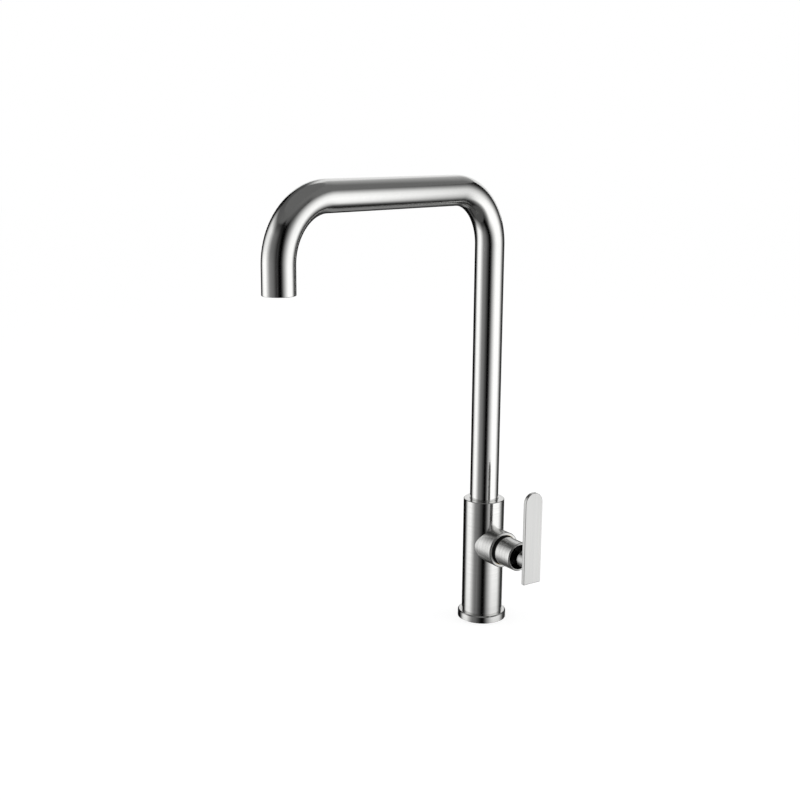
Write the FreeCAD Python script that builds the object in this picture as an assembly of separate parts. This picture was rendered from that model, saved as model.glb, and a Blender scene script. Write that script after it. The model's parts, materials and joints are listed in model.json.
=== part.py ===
"""Gooseneck bar faucet with a side lever.

Millimetres. +Z is up, the origin is on the body's axis in the deck plane,
the side boss and its cartridge lie along +X, and the spout arm points to -Y,
turned a little towards the boss. Each sub-part is one STEP file in parts/.
"""
import FreeCAD, Part
import math
import os

V = FreeCAD.Vector
X_AXIS = V(1, 0, 0)
Y_AXIS = V(0, 1, 0)
Z_AXIS = V(0, 0, 1)
ORIGIN = V(0, 0, 0)

# ---- fits ----------------------------------------------------------------
RUNNING_FIT = 0.05        # radial play of a turning or sliding fit
SEAT_FIT = 0.02           # radial play of a pressed or screwed fit
BRAZE_FIT = 0.05          # radial play of a brazed fit
FACE_GAP = 0.02           # play between two faces that slide on each other
SWING_GAP = 0.3           # room round a piece that tilts or slides

# ---- body ----------------------------------------------------------------
BODY_R = 18.0
SHELL_WALL = 2.0
RIM_CHAMFER = 0.5
FLANGE_LIP = 3.4          # flange beyond the body
FLANGE_H = 6.5
FLANGE_SEAT = 2.0         # thickness of the flange under the shell's foot
FLANGE_CHAMFER = 1.0
GASKET_THICK = 1.5
GASKET_BORDER = 0.9       # metal left on each side of the gasket's groove

# ---- side boss and cartridge ---------------------------------------------
VALVE_Z = 70.5            # height of the cartridge's axis
SEAT_INSET = 16.0         # cartridge seat, in from the body's surface
BOSS_WALL = 2.3          # round the retaining nut's thread
BOSS_CHAMFER = 0.6
CARTRIDGE_R = 12.5        # 25 mm cartridge
CARTRIDGE_LEN = 22.0      # seat to shoulder
CARTRIDGE_WALL = 1.6
POCKET_FIT = 0.1
NECK_LEN = 18.0           # the housing's neck beyond its shoulder
NECK_WALL = 1.5
NECK_LIP = 1.0            # lip that keeps the turret in, along and across
BASE_RIM = 1.0
BASE_THICK = 3.5
SEAL_DEPTH = 1.2
SEAL_WALL = 0.7
FIXED_DISC_THICK = 4.0
MOVING_DISC_THICK = 3.5
MOVING_DISC_R = 8.4
NUT_R = 13.5              # M27 x 1
NUT_LEN = 5.5
NUT_RECESS = 0.5
NUT_SLOT_W = 3.0
NUT_SLOT_DEPTH = 1.5
THREAD_RUN = 3.0          # thread in the boss behind the cartridge's shoulder

# ---- water ports ---------------------------------------------------------
INLET_PORT_R = 1.6
INLET_PORT_Y = 2.6
INLET_PORT_Z = 3.7        # above the cartridge's axis
OUTLET_PORT_R = 1.8
OUTLET_PORT_Z = -0.7
RECESS_HALF_W = 5.2       # mixing recess in the moving disc
RECESS_TOP = 1.5
RECESS_BOTTOM = -7.5
RECESS_DEPTH = 1.6

# ---- turret, stem and carrier --------------------------------------------
TURRET_R = 8.0
PIVOT_DEPTH = 7.0         # pivot pin behind the neck's end
PIN_R = 1.0
PIN_INSET = 0.5           # pin's ends below the turret's surface
TILT_MAX = 18.0           # degrees
STEM_BARREL_R = 3.3
STEM_BARREL_IN = 4.0      # barrel behind the pivot
STEM_BARREL_OUT = 8.0     # barrel in front of the pivot
STEM_TAIL_R = 1.6
STEM_SHANK_R = 2.5
BALL_R = 2.4
BALL_DEPTH = 2.5          # ball's centre behind the housing's roof
CARRIER_PLATE = 3.5
CARRIER_HALF_W = 6.5
LUG_THICK = 1.2
LUG_HALF_H = 3.0

# ---- trim cap ------------------------------------------------------------
CAP_R = 12.55
CAP_LEN = 19.0
CAP_WALL = 1.65
CAP_CHAMFER = 0.6
CAP_GROOVE = 2.8          # dark groove between boss and cap
CAP_SPIGOT_WALL = 1.3
CAP_SPIGOT_LEN = 4.5
CAP_RING_WALL = 0.8       # dark ring round the spigot
CAP_RING_BRIM = 0.4       # its brim over the nut's face
CAP_RING_BORDER = 0.2     # nut's edge outside the brim

# ---- handle --------------------------------------------------------------
LEVER_NECK_R = 4.2        # thin enough to tilt in the cap's mouth
LEVER_NECK_OUT = 13.4     # from the cap's mouth to the back of the blade
LEVER_NECK_IN = 7.3       # neck inside the cap's mouth
LEVER_SOCKET_WALL = 3.0   # metal between the stem's end and the blade
BACK_BOSS_R = 7.2
BACK_BOSS_LEN = 9.8
BACK_BOSS_ROUND = 0.9
BLADE_THICK = 3.5
BLADE_W = 18.0
BLADE_UP = 61.5           # above the cartridge's axis
BLADE_DOWN = 18.7         # below it
BLADE_ROUND = 0.5
GRUB_R = 1.5              # M3 grub screw in the lever's back boss
GRUB_BACK = 5.5           # behind the blade
GRUB_FLAT = 0.8           # flat on the stem under the screw
GRUB_SINK = 0.2
HEX_R = 0.75

# ---- spout ---------------------------------------------------------------
TUBE_R = 12.5             # 25 mm tube
TUBE_WALL = 1.2
ARM_Z = 381.0             # arm's centre line above the deck
REACH = 240.0             # riser's axis to outlet's axis
BEND_R = 47.0             # centre line of both bends
DROP = 68.3               # arm's centre line to the outlet's lip
LIP_ROUND = 0.5
SPOUT_TURN = 13.8         # degrees from square to the boss, as found

# ---- spout's foot and socket ---------------------------------------------
SOCKET_R = 11.5
SOCKET_FLOOR = 4.4        # metal between cartridge pocket and socket
SOCKET_DEPTH = 18.0
RIM_DEPTH = 5.0           # rim above the slip ring's seat
RIM_GAP = 0.3             # dark gap round the riser
SLIP_THICK = 0.8
FOOT_END_GAP = 0.5
FOOT_BORE_R = 7.5
FOOT_IN_TUBE = 15.0
ORING_R = 1.0             # radius of the O-rings' section
ORING_TOP = 4.0           # upper O-ring below the socket's mouth
ORING_BOTTOM = 3.5        # lower O-ring above the socket's floor
ORING_GROOVE_W = 2.6
KEEPER_R = 2.0            # M4 grub screw that keeps the spout down
KEEPER_TIP_R = 1.3
KEEPER_DEPTH = 9.0        # below the socket's mouth
KEEPER_GROOVE = 1.8       # depth of the foot's keeper groove
KEEPER_TIP_LEN = 2.6

# ---- inlets and stud -----------------------------------------------------
INLET_THREAD_R = 4.5      # tapping size of M10 x 1
INLET_THREAD_LEN = 14.0
INLET_X = -6.5
INLET_Y = 6.8
INLET_BORE_R = 3.0
INLET_RISE = 6.0          # bore's end below the cartridge's axis
STUD_R = 3.4              # tapping size of M8
STUD_LEN = 20.0
STUD_X = 8.5
OUTLET_BORE_R = 3.5
OUTLET_BORE_X = -6.0
OUTLET_BORE_RISE = 6.0    # where the slanted port meets it, above the axis

# ---- outlet fittings -----------------------------------------------------
OUTLET_RECESS = 2.0
INSERT_LEN = 14.0
AERATOR_R = 9.25          # M18.5 x 1
AERATOR_LEN = 11.0
AERATOR_WALL = 1.5
AERATOR_RIM = 1.2         # rim that carries the lower screen
AERATOR_SEAL = 1.5
AERATOR_SEAL_WALL = 1.8
SCREEN_THICK = 0.6
SCREEN_HOLE_R = 0.55
SCREEN_PITCH = 1.8
SCREEN_GAP = 2.0
REGULATOR_THICK = 3.0
REGULATOR_HOLE_R = 0.9
REGULATOR_HOLES = 8

# ---- places worked out from the sizes ------------------------------------
SHELL_BORE_R = BODY_R - SHELL_WALL
CORE_R = SHELL_BORE_R - SEAT_FIT
FLANGE_R = BODY_R + FLANGE_LIP
POCKET_R = CARTRIDGE_R + POCKET_FIT
SEAT_X = BODY_R - SEAT_INSET
SHOULDER_X = SEAT_X + CARTRIDGE_LEN
NUT_END_X = SHOULDER_X + NUT_LEN
BOSS_END_X = NUT_END_X + NUT_RECESS
BOSS_R = NUT_R + BOSS_WALL
NECK_BORE_R = TURRET_R + RUNNING_FIT
NECK_R = NECK_BORE_R + NECK_WALL
NECK_END_X = SHOULDER_X + NECK_LEN
ROOF_X = SHOULDER_X - CARTRIDGE_WALL
CHAMBER_R = CARTRIDGE_R - CARTRIDGE_WALL
BASE_TOP_X = SEAT_X + BASE_THICK
FIXED_TOP_X = BASE_TOP_X + FIXED_DISC_THICK
MOVING_X = FIXED_TOP_X + FACE_GAP
CARRIER_X = MOVING_X + MOVING_DISC_THICK
PIVOT_X = NECK_END_X - PIVOT_DEPTH
BALL_X = ROOF_X - BALL_DEPTH
STEM_LEVER = PIVOT_X - BALL_X
TILT = math.radians(TILT_MAX)
TURRET_X = max(ROOF_X, PIVOT_X - STEM_LEVER * math.cos(TILT) + BALL_R + SWING_GAP)
DISC_TRAVEL = STEM_LEVER * TILT
DISC_REST_Z = VALVE_Z - DISC_TRAVEL / 2

CAP_X = BOSS_END_X + CAP_GROOVE
CAP_END_X = CAP_X + CAP_LEN
SPIGOT_BORE_R = NECK_R + RUNNING_FIT
SPIGOT_R = SPIGOT_BORE_R + CAP_SPIGOT_WALL
BLADE_X = CAP_END_X + LEVER_NECK_OUT
BACK_BOSS_X = BLADE_X - BACK_BOSS_LEN
LEVER_NECK_X = CAP_END_X - LEVER_NECK_IN
STEM_END_X = BLADE_X - LEVER_SOCKET_WALL
GRUB_X = BLADE_X - GRUB_BACK

SOCKET_Z = VALVE_Z + POCKET_R + SOCKET_FLOOR
CORE_TOP_Z = SOCKET_Z + SOCKET_DEPTH
BODY_TOP_Z = CORE_TOP_Z + RIM_DEPTH
SLIP_TOP_Z = CORE_TOP_Z + SLIP_THICK
RISER_Z = SLIP_TOP_Z + FACE_GAP
RIM_BORE_R = TUBE_R + RIM_GAP
TUBE_BORE_R = TUBE_R - TUBE_WALL
FOOT_R = SOCKET_R - RUNNING_FIT
KEEPER_Z = CORE_TOP_Z - KEEPER_DEPTH
OUTLET_Z = ARM_Z - DROP
INSERT_Z = OUTLET_Z + OUTLET_RECESS
INSERT_TOP_Z = INSERT_Z + INSERT_LEN
AERATOR_TOP_Z = INSERT_Z + AERATOR_LEN
AERATOR_BORE_R = AERATOR_R - SEAT_FIT - AERATOR_WALL


# ---- shape helpers -------------------------------------------------------
def rod(radius, start, end, base, axis):
    """A round bar between two places along an axis through base."""
    return Part.makeCylinder(radius, end - start, base + axis * start, axis)


def rod_z(radius, z0, z1, x=0.0, y=0.0):
    return rod(radius, z0, z1, V(x, y, 0), Z_AXIS)


def rod_x(radius, x0, x1, y=0.0, z=VALVE_Z):
    return rod(radius, x0, x1, V(0, y, z), X_AXIS)


def ring_z(outer, inner, z0, z1):
    return rod_z(outer, z0, z1).cut(rod_z(inner, z0, z1))


def ring_x(outer, inner, x0, x1, y=0.0, z=VALVE_Z):
    return rod_x(outer, x0, x1, y, z).cut(rod_x(inner, x0, x1, y, z))


def bar_between(radius, start, end):
    return Part.makeCylinder(radius, (end - start).Length, start, end - start)


def turned_z(profile):
    """Solid of revolution about Z from (radius, z) corners."""
    points = [V(r, 0, z) for r, z in profile]
    face = Part.Face(Part.makePolygon(points + points[:1]))
    return face.revolve(ORIGIN, Z_AXIS, 360)


def turned_x(profile):
    """Solid of revolution about the cartridge's axis from (x, radius) corners."""
    points = [V(x, 0, VALVE_Z + r) for x, r in profile]
    face = Part.Face(Part.makePolygon(points + points[:1]))
    return face.revolve(V(0, 0, VALVE_Z), X_AXIS, 360)


def block(x0, x1, y0, y1, z0, z1):
    return Part.makeBox(x1 - x0, y1 - y0, z1 - z0, V(x0, y0, z0))


def round_edges(shape, radius, wanted):
    """Fillet the edges for which wanted(edge) is true."""
    edges = [edge for edge in shape.Edges if wanted(edge)]
    return shape.makeFillet(radius, edges)


def is_circle(edge, radius, along, place):
    """True for a full circular edge of this radius at this place along an axis."""
    if not isinstance(edge.Curve, Part.Circle):
        return False
    near_radius = abs(edge.Curve.Radius - radius) < 1e-6
    return near_radius and abs(edge.Curve.Center.dot(along) - place) < 1e-6


def turn_spout(shape):
    """Turn a piece of the spout from square to where the spout stands."""
    shape.rotate(ORIGIN, Z_AXIS, SPOUT_TURN)
    return shape


def at_outlet(shape):
    """Move a piece made on the body's axis to the outlet's axis."""
    shape.translate(V(0, -REACH, 0))
    return turn_spout(shape)


# ---- body ----------------------------------------------------------------
def body_shell():
    outside = turned_z([
        (0, FLANGE_SEAT), (BODY_R, FLANGE_SEAT), (BODY_R, BODY_TOP_Z - RIM_CHAMFER),
        (BODY_R - RIM_CHAMFER, BODY_TOP_Z), (0, BODY_TOP_Z)])
    boss = turned_x([
        (0, 0), (0, BOSS_R), (BOSS_END_X - BOSS_CHAMFER, BOSS_R),
        (BOSS_END_X, BOSS_R - BOSS_CHAMFER), (BOSS_END_X, 0)])
    shell = outside.fuse(boss)
    shell = shell.cut(rod_z(SHELL_BORE_R, FLANGE_SEAT, CORE_TOP_Z))
    shell = shell.cut(rod_z(RIM_BORE_R, CORE_TOP_Z, BODY_TOP_Z))
    shell = shell.cut(rod_x(POCKET_R, 0, BOSS_END_X))
    shell = shell.cut(rod_x(NUT_R + SEAT_FIT, SHOULDER_X - THREAD_RUN, BOSS_END_X))
    return shell.cut(rod(KEEPER_R + SEAT_FIT, 0, BODY_R, V(0, 0, KEEPER_Z), Y_AXIS))


def base_flange():
    shape = turned_z([
        (CORE_R + SEAT_FIT, 0), (FLANGE_R, 0), (FLANGE_R, FLANGE_H - FLANGE_CHAMFER),
        (FLANGE_R - FLANGE_CHAMFER, FLANGE_H), (BODY_R + SEAT_FIT, FLANGE_H),
        (BODY_R + SEAT_FIT, FLANGE_SEAT), (CORE_R + SEAT_FIT, FLANGE_SEAT)])
    return shape.cut(gasket_ring())


def gasket_ring():
    inner = CORE_R + SEAT_FIT + GASKET_BORDER
    return ring_z(FLANGE_R - GASKET_BORDER, inner, 0, GASKET_THICK)


def valve_core():
    core = rod_z(CORE_R, 0, CORE_TOP_Z)
    core = core.cut(rod_x(POCKET_R, SEAT_X, BODY_R))
    core = core.cut(rod_z(SOCKET_R, SOCKET_Z, CORE_TOP_Z))
    for side in (-1, 1):
        core = core.cut(inlet_way(side))
    core = core.cut(outlet_way())
    core = core.cut(rod_z(STUD_R, 0, STUD_LEN, STUD_X))
    return core.cut(rod(KEEPER_R + SEAT_FIT, 0, BODY_R, V(0, 0, KEEPER_Z), Y_AXIS))


def inlet_way(side):
    """Threaded inlet, bore and slanted port on one side of the core."""
    thread = rod_z(INLET_THREAD_R, 0, INLET_THREAD_LEN, INLET_X, side * INLET_Y)
    bore_end = VALVE_Z - INLET_RISE
    bore = rod_z(INLET_BORE_R, 0, bore_end + INLET_PORT_R, INLET_X, side * INLET_Y)
    port = V(SEAT_X, side * INLET_PORT_Y, VALVE_Z + INLET_PORT_Z)
    slant = bar_between(INLET_PORT_R, port, V(INLET_X, side * INLET_Y, bore_end))
    mouth = rod_x(INLET_PORT_R, SEAT_X - INLET_PORT_R, SEAT_X, port.y, port.z)
    return thread.fuse([bore, slant, mouth])


def outlet_way():
    """Slanted port and bore from the cartridge's seat up to the socket."""
    meet_z = VALVE_Z + OUTLET_BORE_RISE
    bore = rod_z(OUTLET_BORE_R, meet_z, SOCKET_Z, OUTLET_BORE_X)
    port = V(SEAT_X, 0, VALVE_Z + OUTLET_PORT_Z)
    slant = bar_between(OUTLET_PORT_R, port, V(OUTLET_BORE_X, 0, meet_z + OUTLET_PORT_R))
    mouth = rod_x(OUTLET_PORT_R, SEAT_X - OUTLET_PORT_R, SEAT_X, 0, port.z)
    return bore.fuse([slant, mouth])


def spout_keeper_screw():
    """Grub screw at the back whose dog point runs in the foot's groove."""
    tip_start = FOOT_R - KEEPER_GROOVE + SWING_GAP
    body_start = tip_start + KEEPER_TIP_LEN
    base = V(0, 0, KEEPER_Z)
    tip = rod(KEEPER_TIP_R, tip_start, body_start, base, Y_AXIS)
    body = rod(KEEPER_R, body_start, BODY_R - RIM_CHAMFER, base, Y_AXIS)
    socket = rod(KEEPER_TIP_R, BODY_R - KEEPER_R, BODY_R, base, Y_AXIS)
    return tip.fuse(body).cut(socket)


# ---- cartridge, fixed pieces ---------------------------------------------
def port_places():
    """(y, z, radius) of the cold, hot and mixed ports."""
    return {
        "cold": (INLET_PORT_Y, VALVE_Z + INLET_PORT_Z, INLET_PORT_R),
        "hot": (-INLET_PORT_Y, VALVE_Z + INLET_PORT_Z, INLET_PORT_R),
        "mixed": (0.0, VALVE_Z + OUTLET_PORT_Z, OUTLET_PORT_R)}


def port_holes(x0, x1):
    holes = [rod_x(r, x0, x1, y, z) for y, z, r in port_places().values()]
    return holes[0].fuse(holes[1:])


def port_seal(name):
    y, z, radius = port_places()[name]
    return ring_x(radius + SEAL_WALL, radius, SEAT_X, SEAT_X + SEAL_DEPTH, y, z)


def cartridge_base():
    rim = rod_x(CARTRIDGE_R, SEAT_X, SEAT_X + BASE_RIM)
    plug = rod_x(CHAMBER_R - RUNNING_FIT, SEAT_X, BASE_TOP_X)
    base = rim.fuse(plug).cut(port_holes(SEAT_X, BASE_TOP_X))
    for y, z, radius in port_places().values():
        base = base.cut(rod_x(radius + SEAL_WALL, SEAT_X, SEAT_X + SEAL_DEPTH, y, z))
    return base


def fixed_disc():
    disc = rod_x(CHAMBER_R - RUNNING_FIT, BASE_TOP_X, FIXED_TOP_X)
    return disc.cut(port_holes(BASE_TOP_X, FIXED_TOP_X))


def cartridge_housing():
    skirt = rod_x(CARTRIDGE_R, SEAT_X + BASE_RIM, SHOULDER_X)
    neck = rod_x(NECK_R, SHOULDER_X, NECK_END_X)
    housing = skirt.fuse(neck)
    housing = housing.cut(rod_x(CHAMBER_R, SEAT_X + BASE_RIM, ROOF_X))
    housing = housing.cut(rod_x(NECK_BORE_R, ROOF_X, NECK_END_X - NECK_LIP))
    return housing.cut(rod_x(NECK_BORE_R - NECK_LIP, NECK_END_X - NECK_LIP, NECK_END_X))


def retaining_nut():
    nut = ring_x(NUT_R, SPIGOT_R + SEAT_FIT, SHOULDER_X, NUT_END_X)
    half = NUT_SLOT_W / 2
    x0 = NUT_END_X - NUT_SLOT_DEPTH
    across = block(x0, NUT_END_X, -NUT_R, NUT_R, VALVE_Z - half, VALVE_Z + half)
    upright = block(x0, NUT_END_X, -half, half, VALVE_Z - NUT_R, VALVE_Z + NUT_R)
    return nut.cut(across).cut(upright)


def trim_cap():
    bore = CAP_R - CAP_WALL
    spigot_x = BOSS_END_X - NUT_RECESS - CAP_SPIGOT_LEN
    return turned_x([
        (spigot_x, SPIGOT_BORE_R), (spigot_x, SPIGOT_R), (CAP_X, SPIGOT_R),
        (CAP_X, CAP_R - CAP_CHAMFER), (CAP_X + CAP_CHAMFER, CAP_R),
        (CAP_END_X - CAP_CHAMFER, CAP_R), (CAP_END_X, CAP_R - CAP_CHAMFER),
        (CAP_END_X, bore), (CAP_X + CAP_WALL, bore), (CAP_X + CAP_WALL, SPIGOT_BORE_R)])


def cap_ring():
    """Ring in the groove, with a brim that hides the nut."""
    bore = SPIGOT_R + SEAT_FIT
    ring = ring_x(SPIGOT_R + CAP_RING_WALL, bore, NUT_END_X, CAP_X)
    return ring.fuse(ring_x(NUT_R - CAP_RING_BORDER, bore, NUT_END_X, NUT_END_X + CAP_RING_BRIM))


# ---- cartridge, moving pieces --------------------------------------------
def slot_half_height():
    """Room for the stem in the turret's slot at full tilt."""
    def reach(distance, radius):
        return distance * math.tan(TILT) + radius / math.cos(TILT)
    front = reach(PIVOT_DEPTH, STEM_BARREL_R)
    back = reach(PIVOT_X - TURRET_X, STEM_TAIL_R)
    return max(front, back) + SWING_GAP


def turret():
    shaft = rod_x(TURRET_R, TURRET_X, NECK_END_X - NECK_LIP - RUNNING_FIT)
    half = STEM_BARREL_R + RUNNING_FIT
    high = slot_half_height()
    shaft = shaft.cut(block(TURRET_X, NECK_END_X, -half, half, VALVE_Z - high, VALVE_Z + high))
    for side in (-1, 1):
        shaft = shaft.fuse(turret_lug(side))
    return shaft.cut(rod(PIN_R, -TURRET_R, TURRET_R, V(PIVOT_X, 0, VALVE_Z), Y_AXIS))


def turret_lug(side):
    """Lug that drives the carrier's flat on one side."""
    start = CARRIER_X + CARRIER_PLATE + SWING_GAP
    inner = CARRIER_HALF_W + RUNNING_FIT
    sides = sorted((side * inner, side * (inner + LUG_THICK)))
    lug = block(start, TURRET_X, sides[0], sides[1], VALVE_Z - LUG_HALF_H, VALVE_Z + LUG_HALF_H)
    return lug.common(rod_x(TURRET_R, start, TURRET_X))


def pivot_pin():
    half = TURRET_R - PIN_INSET
    return rod(PIN_R, -half, half, V(PIVOT_X, 0, VALVE_Z), Y_AXIS)


def cartridge_stem():
    """Ball end, tail, barrel with the pin's hole, and the shank for the lever."""
    barrel_in = PIVOT_X - STEM_BARREL_IN
    barrel_out = PIVOT_X + STEM_BARREL_OUT
    stem = turned_x([
        (BALL_X, 0), (BALL_X, STEM_TAIL_R), (ROOF_X + BALL_R, STEM_TAIL_R),
        (barrel_in, STEM_BARREL_R), (barrel_out, STEM_BARREL_R),
        (barrel_out, STEM_SHANK_R), (STEM_END_X, STEM_SHANK_R), (STEM_END_X, 0)])
    stem = stem.fuse(Part.makeSphere(BALL_R, V(BALL_X, 0, VALVE_Z)))
    hole_r = PIN_R + RUNNING_FIT
    pivot = V(PIVOT_X, 0, VALVE_Z)
    stem = stem.cut(rod(hole_r, -STEM_BARREL_R, STEM_BARREL_R, pivot, Y_AXIS))
    flat_z = VALVE_Z - STEM_SHANK_R
    flat = block(GRUB_X - 2 * GRUB_R, STEM_END_X, -STEM_SHANK_R, STEM_SHANK_R, flat_z, flat_z + GRUB_FLAT)
    return stem.cut(flat)


def disc_carrier():
    """Plate on the moving disc with a flat-sided block for the stem's ball."""
    plate = rod_x(MOVING_DISC_R, CARRIER_X, CARRIER_X + CARRIER_PLATE, 0, DISC_REST_Z)
    top_x = ROOF_X - SWING_GAP
    head = rod_x(MOVING_DISC_R, CARRIER_X, top_x, 0, DISC_REST_Z)
    low = DISC_REST_Z - MOVING_DISC_R
    high = DISC_REST_Z + MOVING_DISC_R
    head = head.common(block(CARRIER_X, top_x, -CARRIER_HALF_W, CARRIER_HALF_W, low, high))
    socket_r = BALL_R + SWING_GAP + RUNNING_FIT
    socket = rod_x(socket_r, BALL_X - BALL_R - SWING_GAP, top_x)
    return plate.fuse(head).cut(socket)


def moving_disc():
    disc = rod_x(MOVING_DISC_R, MOVING_X, CARRIER_X, 0, DISC_REST_Z)
    recess = block(
        MOVING_X, MOVING_X + RECESS_DEPTH, -RECESS_HALF_W, RECESS_HALF_W,
        VALVE_Z + RECESS_BOTTOM, VALVE_Z + RECESS_TOP)
    return disc.cut(recess)


# ---- handle --------------------------------------------------------------
def blade():
    """Flat bar with a full round top."""
    half = BLADE_W / 2
    low = VALVE_Z - BLADE_DOWN
    shoulder = VALVE_Z + BLADE_UP - half
    bottom_left = V(BLADE_X, -half, low)
    bottom_right = V(BLADE_X, half, low)
    top_right = V(BLADE_X, half, shoulder)
    top_left = V(BLADE_X, -half, shoulder)
    crown = V(BLADE_X, 0, shoulder + half)
    outline = Part.Wire([
        Part.LineSegment(bottom_left, bottom_right).toShape(),
        Part.LineSegment(bottom_right, top_right).toShape(),
        Part.Arc(top_right, crown, top_left).toShape(),
        Part.LineSegment(top_left, bottom_left).toShape()])
    bar = Part.Face(outline).extrude(X_AXIS * BLADE_THICK)
    return round_edges(bar, BLADE_ROUND, lambda edge: edge.Length > BLADE_THICK + BLADE_ROUND)


def handle_lever():
    neck = rod_x(LEVER_NECK_R, LEVER_NECK_X, BLADE_X)
    boss = rod_x(BACK_BOSS_R, BACK_BOSS_X, BLADE_X + BLADE_ROUND)
    boss = round_edges(boss, BACK_BOSS_ROUND, lambda e: is_circle(e, BACK_BOSS_R, X_AXIS, BACK_BOSS_X))
    lever = blade().fuse([boss, neck])
    lever = round_edges(lever, BACK_BOSS_ROUND, lambda e: is_circle(e, LEVER_NECK_R, X_AXIS, BACK_BOSS_X))
    lever = lever.cut(rod_x(STEM_SHANK_R + SEAT_FIT, LEVER_NECK_X, STEM_END_X + SWING_GAP))
    low = V(GRUB_X, 0, VALVE_Z - BACK_BOSS_R)
    return lever.cut(Part.makeCylinder(GRUB_R + SEAT_FIT, BACK_BOSS_R, low, Z_AXIS))


def handle_grub_screw():
    """Grub screw from below, with its hexagon socket."""
    low = VALVE_Z - BACK_BOSS_R + GRUB_SINK
    high = VALVE_Z - STEM_SHANK_R + GRUB_FLAT
    screw = rod_z(GRUB_R, low, high, GRUB_X)
    corners = [
        V(GRUB_X + HEX_R * math.cos(math.radians(60 * i)), HEX_R * math.sin(math.radians(60 * i)), low)
        for i in range(7)]
    socket = Part.Face(Part.makePolygon(corners)).extrude(Z_AXIS * GRUB_R)
    return screw.cut(socket)


# ---- spout ---------------------------------------------------------------
def spout_path(z0, z1):
    """Centre line: riser from z0, two bends, and the drop to z1, along -Y."""
    k = BEND_R * (1 - math.sqrt(0.5))
    shoulder_z = ARM_Z - BEND_R
    far = -REACH
    return Part.Wire([
        Part.LineSegment(V(0, 0, z0), V(0, 0, shoulder_z)).toShape(),
        Part.Arc(V(0, 0, shoulder_z), V(0, -k, ARM_Z - k), V(0, -BEND_R, ARM_Z)).toShape(),
        Part.LineSegment(V(0, -BEND_R, ARM_Z), V(0, far + BEND_R, ARM_Z)).toShape(),
        Part.Arc(V(0, far + BEND_R, ARM_Z), V(0, far + k, ARM_Z - k), V(0, far, shoulder_z)).toShape(),
        Part.LineSegment(V(0, far, shoulder_z), V(0, far, z1)).toShape()])


def tube_along(path, radius):
    start = path.OrderedVertexes[0].Point
    circle = Part.Wire(Part.Circle(start, Z_AXIS, radius).toShape())
    return path.makePipeShell([circle], True, False)


def spout_tube():
    path = spout_path(RISER_Z, OUTLET_Z)
    outside = tube_along(path, TUBE_R)
    outside = round_edges(outside, LIP_ROUND, lambda e: is_circle(e, TUBE_R, Z_AXIS, OUTLET_Z))
    tube = outside.cut(tube_along(path, TUBE_BORE_R))
    return turn_spout(tube)


def spout_foot():
    """Turned end in the riser: keeper groove and two O-ring grooves."""
    bottom = SOCKET_Z + FOOT_END_GAP
    foot = rod_z(FOOT_R, bottom, RISER_Z)
    foot = foot.fuse(rod_z(TUBE_BORE_R - BRAZE_FIT, RISER_Z, RISER_Z + FOOT_IN_TUBE))
    foot = foot.cut(rod_z(FOOT_BORE_R, bottom, RISER_Z + FOOT_IN_TUBE))
    for z in oring_heights():
        foot = foot.cut(ring_z(FOOT_R, FOOT_R - 2 * ORING_R, z - ORING_GROOVE_W / 2, z + ORING_GROOVE_W / 2))
    half = KEEPER_TIP_R + SWING_GAP
    return foot.cut(ring_z(FOOT_R, FOOT_R - KEEPER_GROOVE, KEEPER_Z - half, KEEPER_Z + half))


def oring_heights():
    return CORE_TOP_Z - ORING_TOP, SOCKET_Z + ORING_BOTTOM


def spout_oring(z):
    return Part.makeTorus(FOOT_R - ORING_R, ORING_R, V(0, 0, z), Z_AXIS)


def spout_slip_ring():
    return ring_z(RIM_BORE_R - RUNNING_FIT, SOCKET_R, CORE_TOP_Z, SLIP_TOP_Z)


# ---- outlet fittings, made on the body's axis ----------------------------
def outlet_insert():
    """Threaded ring with a shoulder that the aerator's seal closes on."""
    ring = ring_z(TUBE_BORE_R - BRAZE_FIT, AERATOR_R, INSERT_Z, INSERT_TOP_Z)
    shoulder_z = AERATOR_TOP_Z + AERATOR_SEAL
    return ring.fuse(ring_z(AERATOR_R, AERATOR_R - AERATOR_SEAL_WALL, shoulder_z, INSERT_TOP_Z))


def aerator_housing():
    outer = AERATOR_R - SEAT_FIT
    cup = ring_z(outer, AERATOR_BORE_R, INSERT_Z, AERATOR_TOP_Z)
    return cup.fuse(ring_z(AERATOR_BORE_R, AERATOR_BORE_R - AERATOR_RIM, INSERT_Z, INSERT_Z + AERATOR_RIM))


def aerator_seal():
    outer = AERATOR_R - SEAT_FIT
    return ring_z(outer, outer - AERATOR_SEAL_WALL, AERATOR_TOP_Z, AERATOR_TOP_Z + AERATOR_SEAL)


def aerator_screen(z):
    """Thin disc with a triangular grid of holes."""
    radius = AERATOR_BORE_R - SEAT_FIT
    limit = radius - AERATOR_RIM - SCREEN_HOLE_R
    rows = int(limit / SCREEN_PITCH) + 1
    holes = []
    for i in range(-2 * rows, 2 * rows + 1):
        for j in range(-2 * rows, 2 * rows + 1):
            x = SCREEN_PITCH * (i + j / 2)
            y = SCREEN_PITCH * j * math.sqrt(0.75)
            if math.hypot(x, y) < limit:
                holes.append(rod_z(SCREEN_HOLE_R, z, z + SCREEN_THICK, x, y))
    return rod_z(radius, z, z + SCREEN_THICK).cut(holes)


def screen_heights():
    low = INSERT_Z + AERATOR_RIM
    return low, low + SCREEN_THICK + SCREEN_GAP


def regulator_place():
    return AERATOR_TOP_Z - REGULATOR_THICK


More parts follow.
